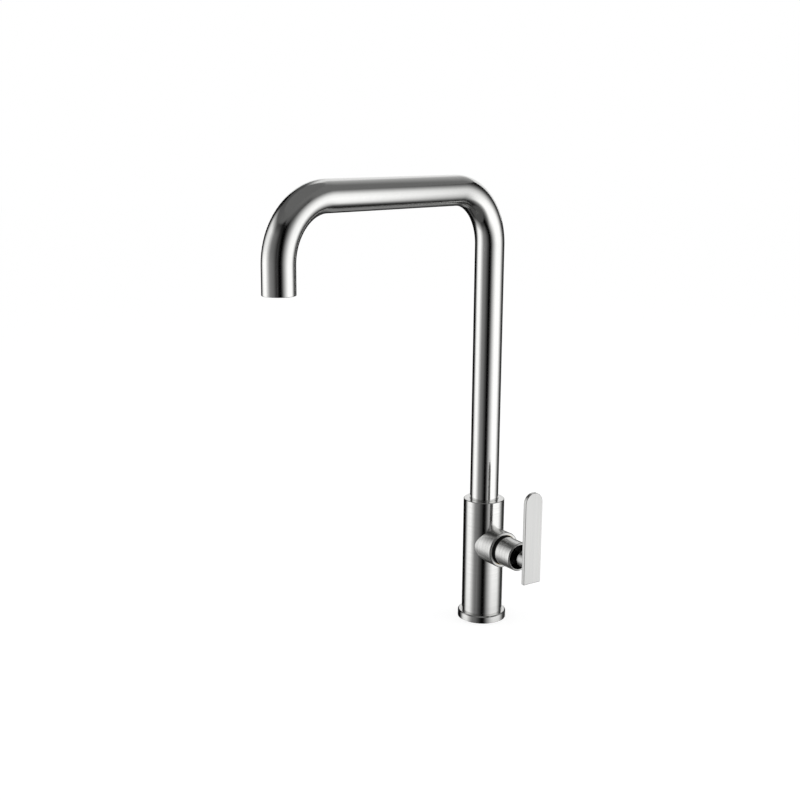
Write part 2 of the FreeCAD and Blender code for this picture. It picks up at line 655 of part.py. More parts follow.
def flow_regulator():
    """Disc with a ring of metering holes, under the seal."""
    z0 = regulator_place()
    radius = AERATOR_BORE_R - SEAT_FIT
    circle = radius - AERATOR_SEAL_WALL - REGULATOR_HOLE_R
    holes = []
    for i in range(REGULATOR_HOLES):
        angle = math.radians(360 * i / REGULATOR_HOLES)
        x = circle * math.cos(angle)
        y = circle * math.sin(angle)
        holes.append(rod_z(REGULATOR_HOLE_R, z0, z0 + REGULATOR_THICK, x, y))
    return rod_z(radius, z0, z0 + REGULATOR_THICK).cut(holes)


# ---- all pieces ----------------------------------------------------------
def pieces():
    lower_screen_z, upper_screen_z = screen_heights()
    upper_oring_z, lower_oring_z = oring_heights()
    return {
        "body_shell": body_shell(),
        "base_flange": base_flange(),
        "base_gasket": gasket_ring(),
        "valve_core": valve_core(),
        "spout_keeper_screw": spout_keeper_screw(),
        "cartridge_base": cartridge_base(),
        "cold_port_seal": port_seal("cold"),
        "hot_port_seal": port_seal("hot"),
        "mixed_port_seal": port_seal("mixed"),
        "fixed_disc": fixed_disc(),
        "cartridge_housing": cartridge_housing(),
        "retaining_nut": retaining_nut(),
        "trim_cap": trim_cap(),
        "cap_ring": cap_ring(),
        "turret": turret(),
        "pivot_pin": pivot_pin(),
        "cartridge_stem": cartridge_stem(),
        "disc_carrier": disc_carrier(),
        "moving_disc": moving_disc(),
        "handle_lever": handle_lever(),
        "handle_grub_screw": handle_grub_screw(),
        "spout_slip_ring": spout_slip_ring(),
        "spout_tube": spout_tube(),
        "spout_foot": turn_spout(spout_foot()),
        "spout_upper_oring": turn_spout(spout_oring(upper_oring_z)),
        "spout_lower_oring": turn_spout(spout_oring(lower_oring_z)),
        "outlet_insert": at_outlet(outlet_insert()),
        "aerator_housing": at_outlet(aerator_housing()),
        "aerator_seal": at_outlet(aerator_seal()),
        "flow_regulator": at_outlet(flow_regulator()),
        "upper_screen": at_outlet(aerator_screen(upper_screen_z)),
        "lower_screen": at_outlet(aerator_screen(lower_screen_z))}


def main():
    os.makedirs("parts", exist_ok=True)
    for name, shape in pieces().items():
        shape.exportStep("parts/" + name + ".step")
        print(name, len(shape.Solids), shape.isValid(), round(shape.Volume, 2))
    print("disc travel", round(DISC_TRAVEL, 4), "stem lever", round(STEM_LEVER, 4))
    print("pivot x", PIVOT_X, "boss end", BOSS_END_X, "cap end", CAP_END_X, "blade x", BLADE_X)
    print("body top", BODY_TOP_Z, "socket", SOCKET_Z, "disc rest z", round(DISC_REST_Z, 4))


main()
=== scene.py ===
"""Gooseneck bar faucet in brushed steel: its looks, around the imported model.

Metres, in the part's own frame: +Z is up from the deck, +X runs out along the
side boss, and the spout's arm points to -Y, turned a little towards the boss.
"""
import json
import math

import bpy
from mathutils import Matrix, Vector


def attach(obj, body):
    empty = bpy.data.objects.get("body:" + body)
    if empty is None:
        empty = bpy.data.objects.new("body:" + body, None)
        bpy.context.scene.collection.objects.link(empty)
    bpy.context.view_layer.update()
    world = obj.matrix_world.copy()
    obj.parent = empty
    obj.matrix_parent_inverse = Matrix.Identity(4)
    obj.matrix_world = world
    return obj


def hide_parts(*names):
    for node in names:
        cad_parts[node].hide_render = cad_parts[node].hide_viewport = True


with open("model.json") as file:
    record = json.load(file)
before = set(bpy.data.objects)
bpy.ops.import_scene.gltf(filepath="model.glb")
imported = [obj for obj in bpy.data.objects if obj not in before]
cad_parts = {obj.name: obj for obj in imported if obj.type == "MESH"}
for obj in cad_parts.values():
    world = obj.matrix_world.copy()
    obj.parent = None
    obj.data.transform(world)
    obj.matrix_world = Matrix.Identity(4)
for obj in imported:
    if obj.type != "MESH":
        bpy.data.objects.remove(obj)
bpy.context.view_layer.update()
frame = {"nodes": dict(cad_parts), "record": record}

MM = 0.001
UP = Vector((0.0, 0.0, 1.0))
OUT = Vector((1.0, 0.0, 0.0))
BACK = Vector((0.0, 1.0, 0.0))
QUARTER = math.radians(90.0)

# ---- sizes of the visible pieces, in metres -------------------------------
BODY_R = 18.0 * MM
BODY_FOOT_Z = 2.0 * MM
BODY_TOP_Z = 110.5 * MM
RIM_CHAMFER = 0.5 * MM
CORE_TOP_Z = 105.5 * MM
SHELL_BORE_R = 16.0 * MM
RIM_BORE_R = 12.8 * MM
KEEPER_Z = 96.5 * MM
KEEPER_HOLE_R = 2.02 * MM

VALVE_Z = 70.5 * MM
DECK_POINT = Vector((0.0, 0.0, 0.0))
VALVE_POINT = Vector((0.0, 0.0, VALVE_Z))
BOSS_R = 15.8 * MM
BOSS_END_X = 30.0 * MM
BOSS_CHAMFER = 0.6 * MM
POCKET_R = 12.6 * MM
NUT_BORE_R = 13.52 * MM
NUT_BORE_X = 21.0 * MM

FLANGE_R = 21.4 * MM
FLANGE_TOP_Z = 6.5 * MM
FLANGE_CHAMFER = 1.0 * MM
FLANGE_SEAT_R = BODY_R + 0.02 * MM
GASKET_R = 20.5 * MM
GASKET_BORE_R = 16.9 * MM
GASKET_TOP_Z = 1.5 * MM

CAP_R = 12.55 * MM
CAP_MOUTH_R = 10.9 * MM
CAP_X = 32.8 * MM
CAP_END_X = 51.8 * MM
CAP_CHAMFER = 0.6 * MM
CAP_FLOOR_X = 34.45 * MM
SPIGOT_X = 25.0 * MM
SPIGOT_R = 10.9 * MM
SPIGOT_BORE_R = 9.6 * MM

NECK_R = 4.2 * MM
NECK_X = 44.5 * MM
SHANK_HOLE_R = 2.52 * MM
SHANK_HOLE_X = 62.5 * MM
BACK_BOSS_R = 7.2 * MM
BACK_BOSS_X = 55.4 * MM
BACK_BOSS_ROUND = 0.9 * MM
BLADE_X = 65.2 * MM
BLADE_FACE_X = 68.7 * MM
BLADE_HALF_W = 9.0 * MM
BLADE_FOOT_Z = 51.8 * MM
BLADE_SHOULDER_Z = 123.0 * MM
BLADE_ROUND = 0.5 * MM
GRUB_X = 59.7 * MM
GRUB_HOLE_R = 1.52 * MM

TUBE_R = 12.5 * MM
TUBE_WALL = 1.2 * MM
RISER_FOOT_Z = 106.32 * MM
ARM_Z = 381.0 * MM
REACH = 240.0 * MM
BEND_R = 47.0 * MM
OUTLET_Z = 312.7 * MM
LIP_ROUND = 0.5 * MM
SPOUT_TURN = math.radians(13.8)

# ---- how finely the pieces are cut ------------------------------------------
TURNED_POINTS = 256
TUBE_POINTS = 128
NECK_POINTS = 192
BLADE_POINTS = 128
SMALL_HOLE_POINTS = 48
BEND_STEPS = 40
BOSS_ROUND_STEPS = 6
EDGE_STEPS = 2
ROUND_STEPS = 4
SMOOTH_ANGLE = math.radians(24)
EDGE_ANGLE = math.radians(35)
EDGE_BREAK = 0.12 * MM
TOOL_CLEARANCE = MM
BEND_LEAD = MM

SAME_RADIUS = 1e-9
SEAM_GAP = 1e-7
NO_LENGTH = 1e-6
WELD_GAP = 2e-6


# ---- shaping by hand --------------------------------------------------------
def lay_down_tools():
    """Leave edit mode with nothing selected."""
    if bpy.context.mode != "OBJECT":
        bpy.ops.object.mode_set(mode="OBJECT")
    bpy.ops.object.select_all(action="DESELECT")


def take(piece):
    """Make one piece the only selected and active object."""
    lay_down_tools()
    piece.select_set(True)
    bpy.context.view_layer.objects.active = piece


def start_ring(name, radius, centre, axis, points):
    """A bare circle of edges, selected in edit mode, to pull a piece from."""
    lay_down_tools()
    facing = axis.to_track_quat("Z", "Y").to_euler()
    bpy.ops.mesh.primitive_circle_add(
        vertices=points, radius=radius, location=centre, rotation=facing)
    piece = bpy.context.object
    piece.name = name
    piece.data.name = name
    bpy.ops.object.transform_apply(location=True, rotation=True, scale=True)
    bpy.ops.object.mode_set(mode="EDIT")
    bpy.ops.mesh.select_mode(type="EDGE")
    bpy.ops.mesh.select_all(action="SELECT")
    return piece


def pull_ring(step):
    """Extrude the selected ring by a step."""
    bpy.ops.mesh.extrude_region_move(TRANSFORM_OT_translate={"value": step})


def close_skin(piece):
    """Merge the seams and turn every face outwards."""
    bpy.ops.mesh.select_all(action="SELECT")
    bpy.ops.mesh.remove_doubles(threshold=SEAM_GAP)
    bpy.ops.mesh.normals_make_consistent(inside=False)
    bpy.ops.object.mode_set(mode="OBJECT")
    return piece


def turned(name, base, axis, outline, open_ends=False, points=TURNED_POINTS):
    """Turn an outline of (place along the axis, radius) corners.

    A closed outline comes back to its start. With open_ends its first and
    last rings are filled, as on a solid bar.
    """
    place, radius = outline[0]
    piece = start_ring(name, radius, base + axis * place, axis, points)
    if open_ends:
        bpy.ops.mesh.edge_face_add()
        bpy.ops.mesh.select_mode(type="FACE")
        bpy.ops.mesh.select_mode(type="EDGE")
    corners = outline[1:] if open_ends else outline[1:] + outline[:1]
    for along, wide in corners:
        pull_ring(axis * (along - place))
        if abs(wide - radius) > SAME_RADIUS:
            share = wide / radius
            bpy.ops.transform.resize(
                value=(share, share, share), center_override=base + axis * along)
        place, radius = along, wide
    return close_skin(piece)


def finish_with(piece, kind, **settings):
    """Add one modifier and apply it."""
    take(piece)
    change = piece.modifiers.new(kind.lower(), kind)
    for key, value in settings.items():
        setattr(change, key, value)
    bpy.ops.object.modifier_apply(modifier=change.name)


def break_edges(piece, width=EDGE_BREAK, segments=EDGE_STEPS):
    """Take the sharpness off every machined edge."""
    finish_with(
        piece, "BEVEL", width=width, segments=segments, limit_method="ANGLE",
        angle_limit=EDGE_ANGLE, use_clamp_overlap=True)


def join_solid(piece, other, operation):
    """Weld another solid on, or cut it out, and throw the tool away."""
    finish_with(
        piece, "BOOLEAN", object=other, operation=operation, solver="EXACT")
    bpy.data.objects.remove(other, do_unlink=True)


def bore(piece, radius, base, axis, start, end, points=TURNED_POINTS):
    """Drill a round hole between two places along an axis."""
    drill = turned("drill", base, axis, [(start, radius), (end, radius)], True, points)
    join_solid(piece, drill, "DIFFERENCE")


def heal(piece):
    """Merge the slivers a weld leaves and dissolve edges of no length."""
    take(piece)
    bpy.ops.object.mode_set(mode="EDIT")
    bpy.ops.mesh.select_all(action="SELECT")
    bpy.ops.mesh.dissolve_degenerate(threshold=NO_LENGTH)
    bpy.ops.mesh.remove_doubles(threshold=WELD_GAP)
    bpy.ops.object.mode_set(mode="OBJECT")


def smooth(piece):
    """Shade round faces smoothly, with the long walls kept straight."""
    take(piece)
    bpy.ops.object.shade_smooth_by_angle(angle=SMOOTH_ANGLE)
    finish_with(piece, "WEIGHTED_NORMAL", mode="FACE_AREA", weight=100, keep_sharp=True)


# ---- the pieces -------------------------------------------------------------
def make_body_sleeve():
    """Body with its side boss: two turned bars welded, then bored out."""
    sleeve = turned("body_sleeve", DECK_POINT, UP, [
        (BODY_FOOT_Z, BODY_R),
        (BODY_TOP_Z - RIM_CHAMFER, BODY_R),
        (BODY_TOP_Z, BODY_R - RIM_CHAMFER)], True)
    break_edges(sleeve)
    boss = turned("boss_blank", VALVE_POINT, OUT, [
        (0.0, BOSS_R),
        (BOSS_END_X - BOSS_CHAMFER, BOSS_R),
        (BOSS_END_X, BOSS_R - BOSS_CHAMFER)], True)
    break_edges(boss)
    join_solid(sleeve, boss, "UNION")
    rim_clear = BODY_TOP_Z + TOOL_CLEARANCE
    boss_clear = BOSS_END_X + TOOL_CLEARANCE
    bore(sleeve, SHELL_BORE_R, DECK_POINT, UP, -BODY_FOOT_Z, CORE_TOP_Z)
    bore(sleeve, RIM_BORE_R, DECK_POINT, UP, CORE_TOP_Z - RIM_CHAMFER, rim_clear)
    bore(sleeve, POCKET_R, VALVE_POINT, OUT, 0.0, boss_clear)
    bore(sleeve, NUT_BORE_R, VALVE_POINT, OUT, NUT_BORE_X, boss_clear)
    bore(
        sleeve, KEEPER_HOLE_R, UP * KEEPER_Z, BACK, 0.0, BODY_R + TOOL_CLEARANCE,
        SMALL_HOLE_POINTS)
    heal(sleeve)
    smooth(sleeve)
    return sleeve


def make_deck_flange():
    """Flange ring with its gasket groove and a wide top chamfer."""
    flange = turned("deck_flange", DECK_POINT, UP, [
        (0.0, GASKET_R),
        (0.0, FLANGE_R),
        (FLANGE_TOP_Z - FLANGE_CHAMFER, FLANGE_R),
        (FLANGE_TOP_Z, FLANGE_R - FLANGE_CHAMFER),
        (FLANGE_TOP_Z, FLANGE_SEAT_R),
        (BODY_FOOT_Z, FLANGE_SEAT_R),
        (BODY_FOOT_Z, SHELL_BORE_R),
        (0.0, SHELL_BORE_R),
        (0.0, GASKET_BORE_R),
        (GASKET_TOP_Z, GASKET_BORE_R),
        (GASKET_TOP_Z, GASKET_R)])
    break_edges(flange)
    smooth(flange)
    return flange


def make_hub_cap():
    """Trim cap with its open mouth and the spigot behind it."""
    cap = turned("hub_cap", VALVE_POINT, OUT, [
        (SPIGOT_X, SPIGOT_BORE_R),
        (SPIGOT_X, SPIGOT_R),
        (CAP_X, SPIGOT_R),
        (CAP_X, CAP_R - CAP_CHAMFER),
        (CAP_X + CAP_CHAMFER, CAP_R),
        (CAP_END_X - CAP_CHAMFER, CAP_R),
        (CAP_END_X, CAP_R - CAP_CHAMFER),
        (CAP_END_X, CAP_MOUTH_R),
        (CAP_FLOOR_X, CAP_MOUTH_R),
        (CAP_FLOOR_X, SPIGOT_BORE_R)])
    break_edges(cap)
    smooth(cap)
    return cap


def quarter_steps():
    """Angles from 0 to a right angle, for the rounds of the lever's boss."""
    return [math.radians(90.0 * i / BOSS_ROUND_STEPS) for i in range(BOSS_ROUND_STEPS + 1)]


def pick_vertices(piece, wanted):
    """Select the vertices for which wanted(place) is true, in edit mode."""
    bpy.ops.object.mode_set(mode="EDIT")
    bpy.ops.mesh.select_mode(type="VERT")
    bpy.ops.mesh.select_all(action="DESELECT")
    bpy.ops.object.mode_set(mode="OBJECT")
    for vertex in piece.data.vertices:
        vertex.select = wanted(vertex.co)
    bpy.ops.object.mode_set(mode="EDIT")


def make_lever():
    """Blade, back boss and neck, welded, with the stem's hole and grub hole."""
    blade = start_ring(
        "lever_blade", BLADE_HALF_W, Vector((BLADE_X, 0.0, BLADE_SHOULDER_Z)), OUT,
        BLADE_POINTS)
    pick_vertices(blade, lambda place: place.z < BLADE_SHOULDER_Z - NO_LENGTH)
    bpy.ops.mesh.delete(type="VERT")
    pick_vertices(blade, lambda place: place.z < BLADE_SHOULDER_Z + NO_LENGTH)
    drop = Vector((0.0, 0.0, BLADE_FOOT_Z - BLADE_SHOULDER_Z))
    bpy.ops.mesh.extrude_vertices_move(TRANSFORM_OT_translate={"value": drop})
    bpy.ops.mesh.select_all(action="SELECT")
    bpy.ops.mesh.edge_face_add()
    bpy.ops.mesh.extrude_region_move(
        TRANSFORM_OT_translate={"value": OUT * (BLADE_FACE_X - BLADE_X)})
    close_skin(blade)
    break_edges(blade, BLADE_ROUND, ROUND_STEPS)

    inner_round = [
        (BACK_BOSS_X - BACK_BOSS_ROUND * (1.0 - math.sin(turn)),
         NECK_R + BACK_BOSS_ROUND * (1.0 - math.cos(turn))) for turn in quarter_steps()]
    outer_round = [
        (BACK_BOSS_X + BACK_BOSS_ROUND * (1.0 - math.cos(turn)),
         BACK_BOSS_R - BACK_BOSS_ROUND * (1.0 - math.sin(turn))) for turn in quarter_steps()]
    neck_outline = [(SHANK_HOLE_X, SHANK_HOLE_R), (NECK_X, SHANK_HOLE_R), (NECK_X, NECK_R)]
    neck_outline += inner_round + outer_round + [(BLADE_X + BLADE_ROUND, BACK_BOSS_R)]
    neck = turned("neck_blank", VALVE_POINT, OUT, neck_outline, True, NECK_POINTS)
    break_edges(neck)
    join_solid(blade, neck, "UNION")
    grub_point = Vector((GRUB_X, 0.0, VALVE_Z))
    grub_start = SHANK_HOLE_R * 0.5
    grub_clear = BACK_BOSS_R + TOOL_CLEARANCE
    bore(blade, GRUB_HOLE_R, grub_point, -UP, grub_start, grub_clear, SMALL_HOLE_POINTS)
    smooth(blade)
    return blade


def make_spout_pipe():
    """One tube: riser, bend, arm, bend and drop, with a rounded lip.

    A short ring leads into and out of each bend, which keeps the straight
    walls' shading straight.
    """
    reach_way = Vector((math.sin(SPOUT_TURN), -math.cos(SPOUT_TURN), 0.0))
    across = reach_way.cross(UP)
    shoulder_z = ARM_Z - BEND_R
    pipe = start_ring(
        "spout_pipe", TUBE_R, Vector((0.0, 0.0, RISER_FOOT_Z)), UP, TUBE_POINTS)
    pull_ring(UP * BEND_LEAD)
    pull_ring(UP * (shoulder_z - RISER_FOOT_Z - 2.0 * BEND_LEAD))
    pull_ring(UP * BEND_LEAD)
    bpy.ops.mesh.spin(
        steps=BEND_STEPS, angle=QUARTER, axis=across,
        center=reach_way * BEND_R + UP * shoulder_z)
    pull_ring(reach_way * BEND_LEAD)
    pull_ring(reach_way * (REACH - 2.0 * BEND_R - 2.0 * BEND_LEAD))
    pull_ring(reach_way * BEND_LEAD)
    bpy.ops.mesh.spin(
        steps=BEND_STEPS, angle=QUARTER, axis=across,
        center=reach_way * (REACH - BEND_R) + UP * shoulder_z)
    pull_ring(UP * -BEND_LEAD)
    pull_ring(UP * (OUTLET_Z - shoulder_z + BEND_LEAD))
    close_skin(pipe)
    finish_with(
        pipe, "SOLIDIFY", thickness=TUBE_WALL, offset=-1.0, use_even_offset=True)
    break_edges(pipe, LIP_ROUND, ROUND_STEPS)
    smooth(pipe)
    return pipe


# ---- finishes ---------------------------------------------------------------
NOISE_LOW = 0.3
NOISE_HIGH = 0.7
BRUSH_DETAIL = 3.0
CLOUD_DETAIL = 2.0
CLOUD_SHARE = 0.09
SKIN_DETAIL = 4.0
TOOL_MARK_DEPTH = 0.01 * MM
WORN_STEEL = (0.72, 0.72, 0.71)
WORN_ROUGHNESS = 0.10
WORN_SHARE = 0.8
WORN_START = 0.52
WORN_FULL = 0.60
# Painted shade: the black painted inside the cap's mouth, and the width over which it fades
# in.
MOUTH_SHADE_BLACK = (0.02, 0.02, 0.02)
MOUTH_SHADE_BLEND = 0.25 * MM


def new_finish(name):
    """A node material with its shader and the piece's own coordinates."""
    finish = bpy.data.materials.new(name)
    finish.use_nodes = True
    nodes = finish.node_tree.nodes
    shader = nodes["Principled BSDF"]
    place = nodes.new("ShaderNodeTexCoord")
    return finish, nodes, finish.node_tree.links, shader, place.outputs["Object"]


def grain(nodes, links, place, scale, detail):
    """Noise stretched by a different scale along each axis."""
    stretch = nodes.new("ShaderNodeMapping")
    stretch.inputs["Scale"].default_value = scale
    links.new(place, stretch.inputs["Vector"])
    noise = nodes.new("ShaderNodeTexNoise")
    noise.inputs["Scale"].default_value = 1.0
    noise.inputs["Detail"].default_value = detail
    links.new(stretch.outputs["Vector"], noise.inputs["Vector"])
    return noise.outputs["Fac"]


def spread(nodes, links, source, low, high, start=NOISE_LOW, end=NOISE_HIGH):
    """Map a noise onto a range of values."""
    ramp = nodes.new("ShaderNodeMapRange")
    ramp.inputs["From Min"].default_value = start
    ramp.inputs["From Max"].default_value = end
    ramp.inputs["To Min"].default_value = low
    ramp.inputs["To Max"].default_value = high
    links.new(source, ramp.inputs["Value"])
    return ramp.outputs["Result"]


def tint(nodes, links, source, dark, light):
    """Mix two close colours by a noise."""
    ramp = nodes.new("ShaderNodeValToRGB")
    ramp.color_ramp.elements[0].position = NOISE_LOW
    ramp.color_ramp.elements[0].color = (*dark, 1.0)
    ramp.color_ramp.elements[1].position = NOISE_HIGH
    ramp.color_ramp.elements[1].color = (*light, 1.0)
    links.new(source, ramp.inputs["Fac"])
    return ramp.outputs["Color"]


def relief(nodes, links, shader, source, depth):
    """Bump from a noise, its depth in metres."""
    bump = nodes.new("ShaderNodeBump")
    bump.inputs["Distance"].default_value = depth
    bump.inputs["Strength"].default_value = 1.0
    links.new(source, bump.inputs["Height"])
    links.new(bump.outputs["Normal"], shader.inputs["Normal"])


def worn_edges(nodes, links):
    """Share of wear: high on edges that hands and cloths rub, 0 on the faces."""
    shape = nodes.new("ShaderNodeNewGeometry")
    return spread(
        nodes, links, shape.outputs["Pointiness"], 0.0, WORN_SHARE, WORN_START, WORN_FULL)


def brushed_steel(name, lines, light=(0.645, 0.645, 0.635), dark=(0.60, 0.60, 0.59),
                  rough=(0.12, 0.17), depth=0.003 * MM):
    """Fine brush lines; lines gives the pattern's scale along X, Y and Z."""
    finish, nodes, links, shader, place = new_finish(name)
    shader.inputs["Metallic"].default_value = 1.0
    fine = grain(nodes, links, place, lines, BRUSH_DETAIL)
    wide_scale = tuple(value * CLOUD_SHARE for value in lines)
    wide = grain(nodes, links, place, wide_scale, CLOUD_DETAIL)
    edges = worn_edges(nodes, links)
    polish = nodes.new("ShaderNodeMix")
    polish.data_type = "RGBA"
    polish.inputs["B"].default_value = (*WORN_STEEL, 1.0)
    links.new(edges, polish.inputs["Factor"])
    links.new(tint(nodes, links, wide, dark, light), polish.inputs["A"])
    links.new(polish.outputs["Result"], shader.inputs["Base Color"])
    sheen = nodes.new("ShaderNodeMix")
    sheen.data_type = "FLOAT"
    sheen.inputs["B"].default_value = WORN_ROUGHNESS
    links.new(edges, sheen.inputs["Factor"])
    links.new(spread(nodes, links, fine, *rough), sheen.inputs["A"])
    links.new(sheen.outputs["Result"], shader.inputs["Roughness"])
    relief(nodes, links, shader, fine, depth)
    return finish


def paint_shade_inside(finish, centre, axis_mask, radius):
    """Painted shade: black on the surfaces nearer an axis than a radius, for a recess's shade.
    """
    nodes, links = finish.node_tree.nodes, finish.node_tree.links
    shader = nodes["Principled BSDF"]
    place = nodes.new("ShaderNodeTexCoord")
    offset = nodes.new("ShaderNodeVectorMath")
    offset.operation = "SUBTRACT"
    offset.inputs[1].default_value = centre
    links.new(place.outputs["Object"], offset.inputs[0])
    flat = nodes.new("ShaderNodeVectorMath")
    flat.operation = "MULTIPLY"
    flat.inputs[1].default_value = axis_mask
    links.new(offset.outputs["Vector"], flat.inputs[0])
    away = nodes.new("ShaderNodeVectorMath")
    away.operation = "LENGTH"
    links.new(flat.outputs["Vector"], away.inputs[0])
    inside = nodes.new("ShaderNodeMapRange")
    inside.inputs["From Min"].default_value = radius + MOUTH_SHADE_BLEND
    inside.inputs["From Max"].default_value = radius
    links.new(away.outputs["Value"], inside.inputs["Value"])
    steel = shader.inputs["Base Color"].links[0].from_socket
    pick = nodes.new("ShaderNodeMix")
    pick.data_type = "RGBA"
    pick.inputs["B"].default_value = (*MOUTH_SHADE_BLACK, 1.0)
    links.new(inside.outputs["Result"], pick.inputs["Factor"])
    links.new(steel, pick.inputs["A"])
    links.new(pick.outputs["Result"], shader.inputs["Base Color"])
    return finish


def plain_metal(name, dark, light, lines, rough):
    """Turned metal with tool marks."""
    finish, nodes, links, shader, place = new_finish(name)
    shader.inputs["Metallic"].default_value = 1.0
    marks = grain(nodes, links, place, lines, CLOUD_DETAIL)
    links.new(tint(nodes, links, marks, dark, light), shader.inputs["Base Color"])
    links.new(spread(nodes, links, marks, *rough), shader.inputs["Roughness"])
    relief(nodes, links, shader, marks, TOOL_MARK_DEPTH)
    return finish


def moulded(name, dark, light, scale, rough, depth, gloss=0.5):
    """Moulded plastic, rubber or fired ceramic with a fine skin."""
    finish, nodes, links, shader, place = new_finish(name)
    shader.inputs["Specular IOR Level"].default_value = gloss
    skin = grain(nodes, links, place, (scale, scale, scale), SKIN_DETAIL)
    links.new(tint(nodes, links, skin, dark, light), shader.inputs["Base Color"])
    links.new(spread(nodes, links, skin, *rough), shader.inputs["Roughness"])
    relief(nodes, links, shader, skin, depth)
    return finish


def wear(piece, finish):
    """Give a piece one finish in every material slot."""
    if not piece.material_slots:
        piece.data.materials.append(finish)
    for slot in piece.material_slots:
        slot.material = finish


def wear_partly(piece, finish, wanted):
    """Give another finish to the faces whose middle is wanted."""
    piece.data.materials.append(finish)
    last = len(piece.data.materials) - 1
    for face in piece.data.polygons:
        if wanted(face.center):
            face.material_index = last


# The brush lines run across the axis that has the largest scale.
UPRIGHT_LINES = (90.0, 90.0, 6500.0)
BOSS_LINES = (6500.0, 260.0, 260.0)
BLADE_LINES = (90.0, 6500.0, 90.0)
SPOUT_LINES = (4200.0, 4200.0, 4200.0)
FACED_LINES = (1800.0, 1800.0, 1800.0)
BOSS_LOOK = {
    "light": (0.68, 0.68, 0.67), "dark": (0.50, 0.50, 0.49), "rough": (0.22, 0.34),
    "depth": 0.006 * MM}

UPRIGHT_STEEL = brushed_steel("steel_brushed_round_upright", UPRIGHT_LINES)
BOSS_STEEL = brushed_steel("steel_brushed_round_boss", BOSS_LINES, **BOSS_LOOK)
FACED_STEEL = brushed_steel(
    "steel_faced", FACED_LINES, light=(0.70, 0.70, 0.69), dark=(0.64, 0.64, 0.63),
    rough=(0.42, 0.52), depth=0.002 * MM)
# The cap's steel is painted black inside its mouth: painted shade for the dark recess.
CAP_STEEL_SHADED_MOUTH = paint_shade_inside(
    brushed_steel("steel_brushed_cap_shaded_mouth", BOSS_LINES, **BOSS_LOOK),
    centre=VALVE_POINT, axis_mask=(0.0, 1.0, 1.0), radius=CAP_MOUTH_R)
SPOUT_STEEL = brushed_steel(
    "steel_brushed_spout", SPOUT_LINES, light=(0.655, 0.655, 0.645),
    dark=(0.64, 0.64, 0.63), rough=(0.115, 0.155), depth=0.0006 * MM)
# Painted shade: the blade wears a darker copy of the brushed steel, which dims its flat face.
BLADE_STEEL_SHADED = brushed_steel(
    "steel_brushed_blade_shaded", BLADE_LINES, light=(0.455, 0.455, 0.45),
    dark=(0.425, 0.425, 0.42), rough=(0.20, 0.28))

CAD_FINISHES = {
    "seal_rubber": moulded(
        "rubber_black", (0.007, 0.007, 0.007), (0.014, 0.014, 0.014), scale=2500.0,
        rough=(0.60, 0.80), depth=0.01 * MM, gloss=0.15),
    "brass": plain_metal(
        "brass_turned", (0.66, 0.50, 0.26), (0.78, 0.63, 0.36),
        lines=(500.0, 500.0, 4000.0), rough=(0.22, 0.38)),
    "screw_steel": plain_metal(
        "steel_turned", (0.44, 0.44, 0.43), (0.56, 0.56, 0.55),
        lines=(3000.0, 3000.0, 3000.0), rough=(0.22, 0.36)),
    # Painted shade: the cartridge's plastic is near black, so that what shows of it in the
    # cap's mouth reads as shade.
    "cartridge_plastic": moulded(
        "acetal_painted_shade", (0.010, 0.010, 0.011), (0.020, 0.020, 0.021), scale=1500.0,
        rough=(0.40, 0.54), depth=0.006 * MM, gloss=0.25),
    "aerator_plastic": moulded(
        "acetal_grey", (0.48, 0.50, 0.51), (0.58, 0.60, 0.61), scale=1500.0,
        rough=(0.38, 0.52), depth=0.006 * MM),
    "ceramic": moulded(
        "alumina_lapped", (0.86, 0.85, 0.81), (0.94, 0.93, 0.89), scale=3000.0,
        rough=(0.12, 0.24), depth=0.002 * MM)}


# ---- dressing the model -----------------------------------------------------
BOSS_SHOW = 0.3 * MM
FACE_SKIN = 0.05 * MM


def on_boss(place):
    """True outside the round of the body, on its side boss."""
    return place.xy.length > BODY_R + BOSS_SHOW


def on_end_of(end_x):
    """Test for the faces of a flat end that looks along +X."""
    return lambda place: place.x > end_x - FACE_SKIN


def dress(piece, finish, body, node, others=()):
    """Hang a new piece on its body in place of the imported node.

    others lists the (finish, wanted faces) pairs that differ from the rest.
    """
    wear(piece, finish)
    for other, wanted in others:
        wear_partly(piece, other, wanted)
    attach(piece, body)
    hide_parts(node)


dress(make_body_sleeve(), UPRIGHT_STEEL, "body", "body_shell", [
    (BOSS_STEEL, on_boss), (FACED_STEEL, on_end_of(BOSS_END_X))])
dress(make_deck_flange(), UPRIGHT_STEEL, "body", "base_flange")
dress(make_hub_cap(), CAP_STEEL_SHADED_MOUTH, "body", "trim_cap", [
    (FACED_STEEL, on_end_of(CAP_END_X))])
dress(make_lever(), BLADE_STEEL_SHADED, "lever", "handle_lever")
dress(make_spout_pipe(), SPOUT_STEEL, "spout", "spout_tube")

for part in frame["record"]["subparts"]:
    if part["material_slot"] in CAD_FINISHES:
        wear(frame["nodes"][part["node"]], CAD_FINISHES[part["material_slot"]])

# ---- camera -----------------------------------------------------------------
CAMERA_AZIMUTH = math.radians(56.09)
CAMERA_ELEVATION = math.radians(12.38)
CAMERA_ROLL = math.radians(0.39)
CAMERA_DISTANCE = 1.0523
CAMERA_LENS = 54.28
SENSOR_WIDTH = 36.0
AIM_ASIDE = -75.19 * MM
AIM_Z = 198.73 * MM

TO_CAMERA = Vector((math.sin(CAMERA_AZIMUTH), -math.cos(CAMERA_AZIMUTH), 0.0))
TO_RIGHT = Vector((math.cos(CAMERA_AZIMUTH), math.sin(CAMERA_AZIMUTH), 0.0))


